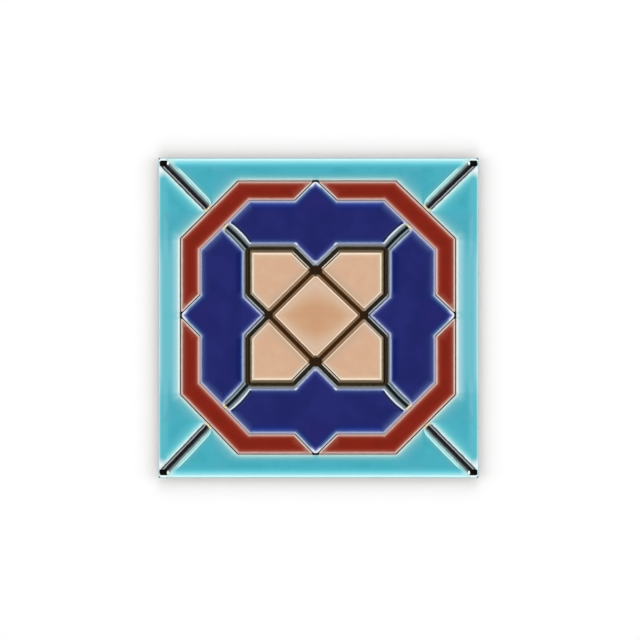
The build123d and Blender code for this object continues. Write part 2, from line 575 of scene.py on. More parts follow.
def floor_points(taken):
    """Points of the bare floor: along the middle lines, the grooves' edges and rings round the pools."""
    chosen = []
    for family in [*THIN_FAMILIES, *WIDE_FAMILIES]:
        chosen.extend(along_segment(start, end, line_spacing) for start, end in LINES[family])
    for offset in groove_offsets:
        for start, end, width in GROOVES:
            if width / 2 + offset > least_radius:
                candidates = capsule(start, end, width / 2 + offset, line_spacing)
                chosen.append(candidates[abs(groove_distance(candidates) - offset) < ring_slack])
    for offset in outer_offsets:
        for pool in POOLS:
            chosen.append(spread(ring(pool, -offset), line_spacing))
    points = np.concatenate(chosen)
    points = points[np.abs(points).max(1) < half - face_edge_round - edge_clearance]
    outside = np.ones(len(points), bool)
    for pool in POOLS:
        outside &= ~inside_outline(points, pool["coarse"])
        outside &= distance_to_outline(points, pool["coarse"]) > pool_clearance
    return thinned(points[outside], taken, least_gap)


KIND_SLOT = {"border_above": 0, "border_beside": 1, "band": 2, "panel_above": 3, "panel_beside": 4,
             "kite": 5, "diamond": 6}
LINE_SLOT = 7
BISCUIT_SLOT = 8
edge_steps = 110


def build_face(builder):
    """The glazed face. Returns the ring of point numbers at its outer edge."""
    feet = []
    for pool in POOLS:
        slot = KIND_SLOT[pool["kind"]]
        rings = [builder.add(ring(pool, inset), inset) for inset in pool_insets]
        for outer, inner in zip(rings, rings[1:]):
            builder.strip(outer, inner, slot)
        extra = grid_points(builder.points[rings[-1]], inner_spacing)
        added = builder.add(extra, np.maximum(distance_to_outline(extra, pool["coarse"]), pool_insets[-1]))
        builder.fill([rings[-1]], [added], slot, inside=True)
        feet.append(rings[0])
    outline = rounded_square(half - face_edge_round, plan_corner_radius - face_edge_round, edge_steps)
    edge = builder.add(outline)
    added = builder.add(floor_points(builder.points[np.concatenate(feet + [edge])]))
    builder.fill(feet, [edge, added], LINE_SLOT)
    return edge


# Profile of the flank below its edge round, as (inset, height), and of a key cell, as (inset, depth)
flank_profile = [(0.0, ledge_z - upright_band * 0.5), (0.0, ledge_z - upright_band),
                 (flank_lean * 0.5, (ledge_z - upright_band + bed_edge_bevel) / 2),
                 (flank_lean, bed_edge_bevel + 0.2), (flank_lean + 0.12, bed_edge_bevel - 0.15),
                 (flank_lean + bed_edge_bevel - 0.15, 0.12), (flank_lean + bed_edge_bevel + 0.2, 0.0)]
cell_profile = [(0.0, 0.0), (0.15, 0.06), (0.3, 0.25), (key_draft - 0.05, key_depth - 0.2),
                (key_draft + 0.15, key_depth - 0.03), (key_draft + 0.5, key_depth)]
tightest_flank_radius = 0.25
tightest_cell_radius = 0.3


def build_flank(builder, edge):
    """Edge round, flank and bevel, down to the bed. Returns the lowest ring and each ring's height."""
    levels = []
    for bend in math.pi / 2 * np.array([0.3, 0.6, 0.85, 1.0]):
        drop = face_edge_round * (1 - math.cos(bend))
        levels.append((face_edge_round * (1 - math.sin(bend)), ledge_z - drop))
    heights = []
    last = edge
    for inset, z in levels + flank_profile:
        radius = max(plan_corner_radius - inset, tightest_flank_radius)
        now = builder.add(rounded_square(half - inset, radius, edge_steps))
        heights.append((now, z))
        builder.strip(now, last, BISCUIT_SLOT)
        last = now
    return last, heights


def build_bed(builder, edge):
    """Bed face with its key pattern of sunk square cells. Returns each ring's height."""
    pitch = (side - 2 * key_margin + key_rib_width) / key_cells
    cell_half = (pitch - key_rib_width) / 2
    heights = []
    mouths = []
    for column in range(key_cells):
        for row in range(key_cells):
            middle = (np.array([column, row]) - (key_cells - 1) / 2) * pitch
            last = None
            for inset, depth in cell_profile:
                radius = max(key_corner_radius - inset * 0.5, tightest_cell_radius)
                now = builder.add(middle + rounded_square(cell_half - inset, radius, 3))
                heights.append((now, depth))
                if last is None:
                    mouths.append(now)
                else:
                    builder.strip(now, last, BISCUIT_SLOT)
                last = now
            builder.face(last[::-1], BISCUIT_SLOT)
    builder.fill(mouths, [edge], BISCUIT_SLOT, step=-1)
    return heights


def family_weights(points, rim):
    """Weight of each family of lines at the points, 1 where it is the nearest, with a soft change between.
    On the floor the nearest middle line counts, in a pool the nearest edge of a line."""
    soft = 0.35
    in_pool = smooth(0.0, 0.5, rim)
    distances = {}
    for name, half_width in FAMILIES.items():
        distances[name] = distance_to_segments(points, LINES[name]) - half_width * in_pool
    weights = {}
    for name, distance in distances.items():
        others = np.min([value for other, value in distances.items() if other != name], axis=0)
        weights[name] = np.clip((others - distance) / soft + 0.5, 0, 1)
    return weights


def add_object(name, data):
    found = bpy.data.objects.new(name, data)
    bpy.context.scene.collection.objects.link(found)
    return found


def build_tile():
    builder = Builder()
    edge = build_face(builder)
    face_count = len(builder.points)
    bed_edge, flank_heights = build_flank(builder, edge)
    bed_heights = build_bed(builder, bed_edge)
    count = len(builder.points)

    # Distances over the face
    face = builder.points[:face_count]
    is_pool = builder.rims[:face_count] >= 0
    rim = np.maximum(builder.rims[:face_count], 0)
    found = {"rim": rim, "to_edge": half - np.abs(face).max(1), "groove": groove_distance(face),
             "to_pale_line": pale_line_distance(face), "to_knot": knot_distance(face)}
    for name in ("band", "kite", "diamond", "panel", "above", "beside"):
        found["to_" + name] = distance_to_kinds(face, [kind for kind in KIND_SLOT if name in kind])
    thin_lines = [line for name in THIN_FAMILIES for line in LINES[name]]
    found["to_line"] = distance_to_segments(face, thin_lines)
    found["to_tip"] = distance_to_places(face, [laid((0, outer_flat), quarter) for quarter in range(4)])
    # Places of the painted highlights at the notches' mouths
    painted_glint = (notch_mouth + painted_glint_shift[0], star_half_width + painted_glint_shift[1])
    painted_glints = [laid((sign * painted_glint[0], painted_glint[1]), quarter) for sign in (-1, 1) for quarter in range(4)]
    found["to_painted_glint"] = distance_to_places(face, painted_glints)
    for name, weight in family_weights(face, rim).items():
        found["at_" + name] = weight
    thin = np.clip(sum(found["at_" + name] for name in THIN_FAMILIES), 0, 1)

    # Heights
    floor = ledge_heights(distance_to_kinds(face, KIND_SLOT), found["groove"], thin, found["to_line"])
    swell = sum(wavy(face, amount, size, seed) for seed, (amount, size) in enumerate(swells, 1))
    pool = np.maximum(pool_heights(rim), ledge_z + thin * thin_line_rise)
    z = np.zeros(count)
    z[:face_count] = np.where(is_pool, pool, floor) + swell * smooth(*swell_slope, rim)
    z[edge] = ledge_z
    for numbers, height in flank_heights + bed_heights:
        z[numbers] = height
    points = np.concatenate([builder.points, z[:, None]], 1) * MM

    mesh = bpy.data.meshes.new("tile_body")
    mesh.from_pydata(points.tolist(), [], builder.faces)
    mesh.polygons.foreach_set("material_index", builder.slots)
    mesh.polygons.foreach_set("use_smooth", [True] * len(builder.faces))
    for name, value in found.items():
        layer = mesh.attributes.new(name, "FLOAT", "POINT")
        layer.data.foreach_set("value", np.pad(value, (0, count - face_count)).astype(np.float32))
    mesh.validate()
    mesh.update()
    return add_object("glazed_tile", mesh)


# Materials

gloss_veil = 0.009
matt_veil = 0.004
darkest = 0.0006


def paint(red, green, blue, share=1.0, veil=0.0):
    """Scene colour of a screen colour given in 0 to 255, less the even light that a gloss lays over it."""
    def linear(value):
        value = value / 255
        lit = value / 12.92 if value <= 0.04045 else ((value + 0.055) / 1.055) ** 2.4
        return max(lit - veil, darkest)
    return (linear(red), linear(green), linear(blue), share)


class Nodes:
    """Short names for the nodes of one material. Colours are (red, green, blue) on the screen, 0 to 255.
    The veil is the light that the material's gloss lays over every colour."""

    def __init__(self, name, veil=0.0):
        self.material = bpy.data.materials.new(name)
        self.material.use_nodes = True
        self.tree = self.material.node_tree
        self.shader = self.tree.nodes["Principled BSDF"]
        self.veil = veil

    def new(self, kind, inputs, **settings):
        node = self.tree.nodes.new("ShaderNode" + kind)
        for name, value in settings.items():
            setattr(node, name, value)
        for name, value in inputs.items():
            self.feed(node.inputs[name], value)
        return node

    def feed(self, socket, value):
        """Set a socket to a number or a colour, or link it to another node's output."""
        if isinstance(value, bpy.types.NodeSocket):
            self.tree.links.new(value, socket)
        elif isinstance(value, tuple):
            socket.default_value = paint(*value, veil=self.veil)
        else:
            socket.default_value = value

    def value_of(self, name):
        return self.new("Attribute", {}, attribute_name=name).outputs["Fac"]

    def math(self, operation, first, second=0.0, clamp=False):
        return self.new("Math", {0: first, 1: second}, operation=operation, use_clamp=clamp).outputs[0]

    def add(self, first, second, clamp=False):
        return self.math("ADD", first, second, clamp)

    def less(self, first, second):
        return self.math("SUBTRACT", first, second)

    def times(self, first, second):
        return self.math("MULTIPLY", first, second)

    def mix(self, share, below, above):
        return self.new("Mix", {0: share, 6: below, 7: above}, data_type="RGBA").outputs[2]

    def ramp(self, value, stops):
        """Colours along a value, as a node's outputs. Each stop is (millimetres, red, green, blue), with a
        share at its end if it is under 1."""
        first = stops[0][0]
        reach = stops[-1][0] - first
        node = self.new("ValToRGB", {0: self.math("DIVIDE", self.less(value, first), reach)})
        elements = node.color_ramp.elements
        while len(elements) < len(stops):
            elements.new(1.0)
        for element, stop in zip(elements, stops):
            element.position = (stop[0] - first) / reach
        for element, stop in zip(elements, stops):
            element.color = paint(*stop[1:], veil=self.veil)
        return node.outputs

    def over(self, below, value, stops):
        """Lay a band of colours over what is below, each by its share."""
        band = self.ramp(value, stops)
        return self.mix(band["Alpha"], below, band["Color"])

    def at(self, family, below, above):
        """Lay a colour over what is below, only beside one family of lines."""
        return self.mix(self.value_of("at_" + family), below, above)

    def edges(self, colour, body, value, families):
        """Lay bands of colours over the body, each beside its family of lines. families is {name: stops}."""
        for family, stops in families.items():
            colour = self.at(family, colour, self.over(body, value, stops))
        return colour

    def where(self, family, below, value, stops):
        """Colours along a value, laid over what is below, only beside one family of lines."""
        return self.at(family, below, self.ramp(value, stops)["Color"])

    def place(self, shift=0.0):
        """Place in the tile, in metres, shifted so that two noises of one size differ."""
        place = self.new("TexCoord", {}).outputs["Object"]
        if shift:
            moved = self.new("VectorMath", {0: place}, operation="ADD")
            moved.inputs[1].default_value = (shift, shift * 0.7, 0)
            place = moved.outputs[0]
        return place

    def split(self):
        return self.new("SeparateXYZ", {0: self.place()}).outputs

    def from_sides(self):
        """Distances in millimetres from the tile's nearest upright side and from its nearest level side."""
        place = self.split()
        away = [self.math("ABSOLUTE", place[axis]) for axis in ("X", "Y")]
        return [self.times(self.less(half * MM, each), 1 / MM) for each in away]

    def noise(self, size, detail=2.0, roughness=0.5, shift=0.0):
        """Noise with features of a size in millimetres."""
        inputs = {"Scale": 1 / (size * MM), "Detail": detail, "Roughness": roughness,
                  "Vector": self.place(shift)}
        return self.new("TexNoise", inputs).outputs["Fac"]

    def wander(self, amount, size, shift=0.17):
        """Small to and fro of a hand-laid edge, in millimetres."""
        return self.times(self.less(self.noise(size, 2.0, 0.6, shift), 0.5), amount)

    def level(self, value, low, high, start=0.0, end=1.0):
        """Smooth step from start to end, as the value goes from low to high."""
        inputs = {"Value": value, "From Min": low, "From Max": high, "To Min": start, "To Max": end}
        return self.new("MapRange", inputs, interpolation_type="SMOOTHSTEP").outputs["Result"]

    def cloud(self, size, roughness=0.55):
        """Soft patches between two colours of a glaze."""
        return self.level(self.noise(size, 3.0, roughness), 0.35, 0.65)

    def rim(self, slow, fine, grain=0.0):
        """Distance inside a pool's edge, with a slow and a fine wander and a speckle."""
        wander = self.add(self.wander(slow, 3.0), self.wander(fine, 0.9, 0.47))
        if grain:
            wander = self.add(wander, self.wander(grain, 0.45, 0.39))
        return self.add(self.value_of("rim"), wander)

    def blob(self, across, middle, reach, power=2.0):
        """Distance from a rounded shape's middle, 1 at its edge. across, middle and reach are pairs."""
        terms = []
        for value, centre, half_size in zip(across, middle, reach):
            share = self.math("ABSOLUTE", self.math("DIVIDE", self.less(value, centre), half_size))
            terms.append(self.math("POWER", share, power))
        return self.math("POWER", self.add(*terms), 1 / power)

    def bump(self, height, distance, strength):
        inputs = {"Strength": strength, "Distance": distance * MM, "Height": height}
        return self.new("Bump", inputs).outputs["Normal"]

    def finish(self, colour, roughness, normal=None):
        self.feed(self.shader.inputs["Base Color"], colour)
        self.feed(self.shader.inputs["Roughness"], roughness)
        if normal is not None:
            self.feed(self.shader.inputs["Normal"], normal)
        return self.material

    def glaze(self, colour):
        """Gloss of a fired glaze: a soft orange-peel skin and slow changes of gloss."""
        normal = self.bump(self.noise(2.2, 2.0, 0.5), 0.02, 0.35)
        gloss = self.level(self.noise(6.0, 3.0, 0.6, 0.31), 0.3, 0.7, 0.07, 0.13)
        return self.finish(colour, gloss, normal)


def turquoise(place):
    nodes = Nodes("turquoise_glaze_" + place, gloss_veil)
    from_side, from_level = nodes.from_sides()
    body = nodes.mix(nodes.cloud(14.0), (70, 170, 186), (78, 177, 195))
    green = nodes.level(nodes.noise(9.0, 2.0, 0.5, 0.53), 0.55, 0.75, 0.0, 0.5)
    body = nodes.mix(green, body, (72, 180, 187))
    rim = nodes.rim(0.3, 0.3, 0.2)
    edge = nodes.add(nodes.value_of("to_edge"), nodes.wander(0.25, 3.0, 0.61))
    pale = nodes.level(from_level, 44.0, 70.0)
    # The pale and near-white bands along the pools' edges are partly thin glaze and partly painted highlight
    cut = nodes.over(body, rim, [
        (0, 206, 222, 220), (0.5, 196, 226, 228), (0.9, 168, 209, 211), (1.4, 145, 197, 201),
        (2.2, 121, 190, 197), (3.4, 103, 181, 194), (5, 92, 176, 191), (8, 80, 171, 189, 0.7),
        (12, 76, 171, 188, 0)])
    if place == "beside":
        body = nodes.mix(pale, body, (105, 191, 201))
        run = nodes.over(body, rim, [
            (0, 204, 212, 210), (0.4, 226, 236, 235), (1, 220, 239, 240), (1.4, 186, 219, 221),
            (2.2, 161, 210, 217), (3.4, 144, 204, 217), (4.6, 130, 196, 210, 0.8), (7, 108, 191, 202, 0)])
        corner = nodes.over(body, rim, [
            (0, 244, 255, 255), (0.45, 222, 252, 253), (0.9, 172, 226, 229), (1.7, 141, 213, 218),
            (2.9, 112, 198, 207, 0.9), (4.1, 96, 189, 202, 0.8), (8.5, 84, 181, 197, 0)])
        # Toward the tile's edge: a pale line, partly thin glaze and partly painted highlight
        middle_edge = [
            (0.3, 200, 214, 217), (0.6, 208, 230, 235), (0.9, 198, 230, 235), (1.2, 170, 219, 227),
            (1.6, 148, 208, 219), (2.1, 134, 200, 211), (2.8, 122, 197, 207), (3.7, 103, 190, 201, 0.85),
            (5, 96, 187, 199, 0.7), (6.5, 104, 191, 202, 0)]
        end_edge = [
            (0.3, 194, 216, 220), (0.6, 198, 228, 234), (0.9, 176, 221, 229), (1.2, 134, 202, 210),
            (1.6, 108, 192, 203), (2.2, 94, 187, 200), (3, 87, 184, 200, 0.9), (5.5, 78, 177, 194, 0)]
        tip_share = nodes.level(nodes.add(from_level, nodes.times(from_side, 0.3)), 14.5, 8.0)
        tip_colour = (240, 246, 246)
        family = "octagon_upright"
    else:
        run = nodes.over(body, rim, [
            (0, 190, 212, 210), (0.4, 184, 216, 215), (0.8, 162, 210, 212), (1.3, 138, 198, 203),
            (1.8, 121, 189, 197), (2.5, 107, 182, 192, 0.9), (3.4, 94, 178, 188, 0.7),
            (5.2, 76, 176, 188, 0)])
        # A bowed near-white line beside each corner line, partly the glaze's own colour and partly painted
        # highlight
        corner = nodes.over(body, nodes.add(nodes.value_of("to_pale_line"), nodes.wander(0.3, 3.0)), [
            (-1.4, 200, 236, 236), (-1.1, 186, 226, 227), (-0.75, 160, 212, 213), (-0.5, 156, 214, 216),
            (-0.2, 196, 250, 251), (0.15, 200, 255, 255), (0.35, 152, 218, 222), (0.6, 96, 172, 180),
            (1.5, 94, 174, 184, 0.9), (4, 80, 171, 186, 0)])
        # Toward the tile's edge: painted shade on the edge round, then a near-white line, partly thin glaze
        # and partly painted highlight
        middle_edge = end_edge = [
            (0.3, 124, 154, 160), (0.6, 156, 192, 197), (0.9, 206, 248, 251), (1.2, 214, 255, 255),
            (1.6, 200, 251, 255), (2, 177, 237, 246), (2.5, 151, 223, 233), (3.2, 131, 216, 226),
            (4, 108, 205, 217), (4.9, 93, 194, 209, 0.9), (6, 83, 184, 200, 0.6), (7.8, 76, 177, 193, 0)]
        tip_share = nodes.level(from_side, 12.5, 7.0, 0.0, 0.8)
        tip_colour = (204, 238, 234)
        family = "octagon_level"
    colour = nodes.at("octagon_cut", body, cut)
    colour = nodes.at(family, colour, run)
    colour = nodes.at("corner", colour, corner)
    colour = nodes.mix(pale, nodes.over(colour, edge, end_edge), nodes.over(colour, edge, middle_edge))
    return nodes.glaze(nodes.mix(tip_share, colour, tip_colour))


def red():
    nodes = Nodes("iron_red_glaze", gloss_veil)
    to_tip = nodes.value_of("to_tip")
    body = nodes.mix(nodes.cloud(8.0), (126, 38, 25), (135, 38, 26))
    mottle = nodes.level(nodes.noise(2.4, 3.0, 0.6, 0.71), 0.4, 0.65)
    body = nodes.mix(nodes.times(nodes.level(to_tip, 11.0, 6.0, 0.0, 0.8), mottle), body, (162, 86, 72))
    rim = nodes.rim(0.3, 0.35, 0.3)
    # The pale pink bands along the pools' edges are partly thin glaze and partly painted highlight
    colour = nodes.over(body, rim, [
        (0, 214, 172, 162), (0.3, 208, 162, 151), (0.6, 190, 136, 124), (0.95, 166, 101, 89),
        (1.35, 151, 76, 62), (1.8, 144, 61, 47), (2.4, 141, 49, 36, 0.9), (3.4, 136, 42, 30, 0.6),
        (5, 132, 38, 26, 0)])
    bright = [
        (0, 226, 192, 182), (0.3, 220, 180, 168), (0.6, 202, 152, 141), (0.95, 170, 108, 95),
        (1.35, 150, 77, 63), (1.8, 146, 62, 48), (2.4, 143, 50, 37, 0.9), (3.4, 139, 43, 31, 0.6),
        (5, 133, 38, 26, 0)]
    colour = nodes.edges(colour, body, rim, {
        "octagon_cut": bright,
        "inner_upright": bright,
        "arrow": [
            (0, 238, 212, 206), (0.25, 208, 168, 160), (0.5, 160, 106, 94), (0.85, 144, 78, 64),
            (1.3, 146, 76, 62), (1.7, 145, 65, 51), (2.4, 144, 58, 45, 0.9), (4, 140, 52, 39, 0.6),
            (6, 136, 46, 33, 0)],
        "inner_level": [
            (0, 206, 166, 156), (0.3, 196, 146, 136), (0.6, 178, 116, 104), (0.95, 156, 81, 66),
            (1.35, 141, 60, 43), (1.8, 134, 50, 32), (2.4, 133, 46, 27, 0.8), (3.4, 131, 40, 25, 0.5),
            (5, 129, 36, 24, 0)],
        "octagon_upright": [
            (0, 224, 194, 184), (0.3, 198, 158, 147), (0.55, 176, 124, 111), (0.95, 146, 84, 72),
            (1.35, 139, 68, 55), (1.8, 139, 59, 46), (2.4, 137, 51, 38, 0.9), (3.4, 134, 43, 33, 0.6),
            (5, 132, 39, 28, 0)]})
    paled = nodes.level(nodes.add(to_tip, nodes.wander(2.0, 1.2, 0.57)), 9.0, 5.5, 0.0, 0.6)
    return nodes.glaze(nodes.mix(paled, colour, (178, 138, 124)))


def blue(place):
    nodes = Nodes("cobalt_glaze_" + place, gloss_veil)
    to_tip = nodes.value_of("to_tip")
    body = nodes.mix(nodes.cloud(16.0, 0.5), (34, 40, 103), (40, 44, 112))
    body = nodes.mix(nodes.level(to_tip, 28.0, 12.0, 0.0, 0.6), body, (43, 40, 110))
    rim = nodes.rim(0.3, 0.5, 0.5)
    # The pale bands along the pools' edges are partly thin glaze and partly painted highlight
    colour = nodes.over(body, rim, [
        (0, 164, 172, 200), (0.45, 148, 160, 196), (0.95, 101, 117, 166), (1.35, 72, 88, 143),
        (1.8, 51, 67, 126), (2.4, 43, 57, 119, 0.9), (3.4, 38, 48, 111, 0.7), (5.5, 33, 41, 102, 0)])
    colour = nodes.edges(colour, body, rim, {
        "flat_upright": [
            (0, 172, 182, 206), (0.5, 168, 181, 212), (0.9, 134, 148, 191), (1.25, 80, 98, 152),
            (1.7, 38, 58, 122), (2.2, 22, 42, 108), (2.9, 15, 32, 101), (4, 19, 34, 103, 0.8),
            (6.5, 27, 38, 100, 0)],
        "inner_level": [
            (0, 170, 174, 200), (0.3, 170, 176, 205), (0.6, 151, 162, 201), (0.95, 120, 135, 184),
            (1.35, 86, 102, 163), (1.8, 57, 73, 145), (2.4, 47, 62, 139), (3.2, 38, 51, 128),
            (4.4, 32, 42, 114, 0.8), (7, 31, 38, 108, 0)],
        "inner_upright": [
            (0, 168, 174, 202), (0.3, 146, 154, 188), (0.6, 108, 120, 162), (0.95, 74, 87, 138),
            (1.4, 63, 75, 132), (2, 54, 66, 125), (3, 45, 53, 115), (4.2, 40, 46, 108, 0.8),
            (6.5, 38, 42, 104, 0)],
        "inner_cut": [
            (0, 196, 196, 222), (0.3, 180, 181, 210), (0.6, 136, 142, 180), (0.95, 98, 107, 156),
            (1.4, 78, 88, 142), (2, 68, 78, 134), (3, 52, 64, 122), (4.2, 43, 54, 113, 0.9),
            (6.5, 36, 43, 104, 0)],
        "notch": [
            (0, 196, 204, 232), (0.35, 186, 194, 226), (0.65, 132, 140, 182), (0.95, 92, 99, 150),
            (1.4, 65, 72, 133), (2, 53, 61, 126), (3, 41, 49, 118, 0.9), (4.6, 36, 44, 110, 0)],
        "arrow": [
            (0, 204, 214, 228), (0.4, 190, 203, 220), (0.75, 142, 161, 190), (1.15, 94, 114, 156),
            (1.6, 69, 88, 139), (2.4, 45, 61, 123), (3.4, 32, 46, 111, 0.9), (5.5, 31, 42, 105, 0)]})
    if place == "above":
        # Painted highlight and painted shade: a near-white crescent on the rim by each link, with a dark band
        # just inside it
        colour = nodes.edges(colour, body, nodes.rim(0.2, 0.15), {"link": [
            (0, 238, 248, 253), (0.4, 250, 255, 255), (0.75, 212, 224, 240), (1.02, 74, 84, 120),
            (1.4, 30, 39, 76), (1.9, 35, 42, 86), (2.7, 46, 52, 104), (3.6, 40, 46, 103, 0.6),
            (4.6, 36, 42, 100, 0)]})
        # Painted highlight: a small white glint in the rim at each notch's mouth
        painted_glint = nodes.times(nodes.level(nodes.value_of("to_painted_glint"), 1.5, 1.0), nodes.level(rim, 1.0, 0.7))
        colour = nodes.mix(painted_glint, colour, (240, 246, 252))
        speckle = nodes.add(nodes.value_of("to_knot"), nodes.wander(1.4, 0.8, 0.27))
        colour = nodes.mix(nodes.level(speckle, 2.05, 1.65, 0.0, 0.85), colour, (204, 212, 226))
    else:
        colour = nodes.edges(colour, body, rim, {"link": [
            (0, 206, 220, 242), (0.25, 184, 198, 224), (0.5, 140, 154, 192), (0.8, 104, 116, 163),
            (1.2, 78, 90, 145), (1.6, 60, 70, 133), (2.1, 46, 56, 122), (3, 37, 46, 113, 0.8),
            (5, 34, 42, 104, 0)]})
    # Near-white rims at the arrow tips, partly thin glaze and partly painted highlight
    tip = nodes.over(body, rim, [
        (0, 240, 246, 253), (0.6, 234, 241, 252), (1.1, 186, 195, 228), (1.7, 112, 120, 180),
        (2.6, 64, 68, 136, 0.9), (4.5, 44, 44, 112, 0)])
    return nodes.glaze(nodes.mix(nodes.level(to_tip, 6.5, 3.0), colour, tip))


def peach():
    nodes = Nodes("peach_glaze", gloss_veil)
    body = nodes.mix(nodes.cloud(9.0), (215, 174, 143), (218, 179, 149))
    rim = nodes.rim(0.15, 0.2)
    # The cream-white bands along the pools' edges are partly thin glaze and partly painted highlight
    colour = nodes.over(body, rim, [
        (0, 164, 144, 122), (0.25, 218, 196, 172), (0.45, 253, 232, 208), (0.95, 252, 230, 205),
        (1.3, 229, 201, 175), (1.8, 220, 190, 162), (2.6, 217, 183, 154, 0.8), (4, 217, 179, 149, 0)])
    return nodes.glaze(nodes.edges(colour, body, rim, {
        "flat_upright": [
            (0, 240, 226, 202), (0.25, 252, 239, 215), (0.55, 247, 231, 207), (0.95, 218, 194, 168),
            (1.4, 211, 183, 156), (2.2, 215, 180, 152, 0.8), (4, 216, 177, 147, 0)],
        "notch": [
            (0, 140, 122, 102), (0.25, 214, 194, 174), (0.45, 245, 224, 203), (0.8, 242, 219, 197),
            (1.1, 208, 183, 160), (1.7, 209, 183, 161), (2.6, 211, 181, 157, 0.8), (4.5, 213, 176, 148, 0)],
        "diamond": [
            (0, 222, 194, 168), (0.2, 248, 220, 193), (0.6, 240, 211, 184), (0.95, 206, 176, 149),
            (1.5, 202, 172, 145), (3, 206, 174, 147, 0.9), (6, 211, 175, 146, 0)]}))


def tan():
    nodes = Nodes("tan_glaze", gloss_veil)
    depth = nodes.ramp(nodes.add(nodes.value_of("rim"), nodes.wander(1.5, 9.0)), [
        (0, 222, 192, 166), (2.5, 216, 184, 156), (5, 209, 171, 138), (7.5, 208, 164, 128),
        (11, 206, 159, 122), (16, 203, 156, 118)])["Color"]
    depth = nodes.mix(nodes.level(nodes.from_sides()[1], 95.0, 78.0, 0.0, 0.7), depth, (219, 194, 172))
    body = nodes.mix(nodes.times(nodes.cloud(9.0), 0.2), depth, (214, 176, 148))
    # The cream-white band along the pool's edge is partly thin glaze and partly painted highlight
    colour = nodes.over(body, nodes.rim(0.15, 0.2), [
        (0, 232, 204, 178), (0.2, 254, 230, 206), (0.55, 252, 227, 202), (0.9, 222, 194, 167),
        (1.4, 213, 183, 156, 0.9), (3, 213, 181, 154, 0)])
    nick = nodes.level(nodes.value_of("to_knot"), 1.36, 1.2)
    return nodes.glaze(nodes.mix(nick, colour, (58, 38, 22)))


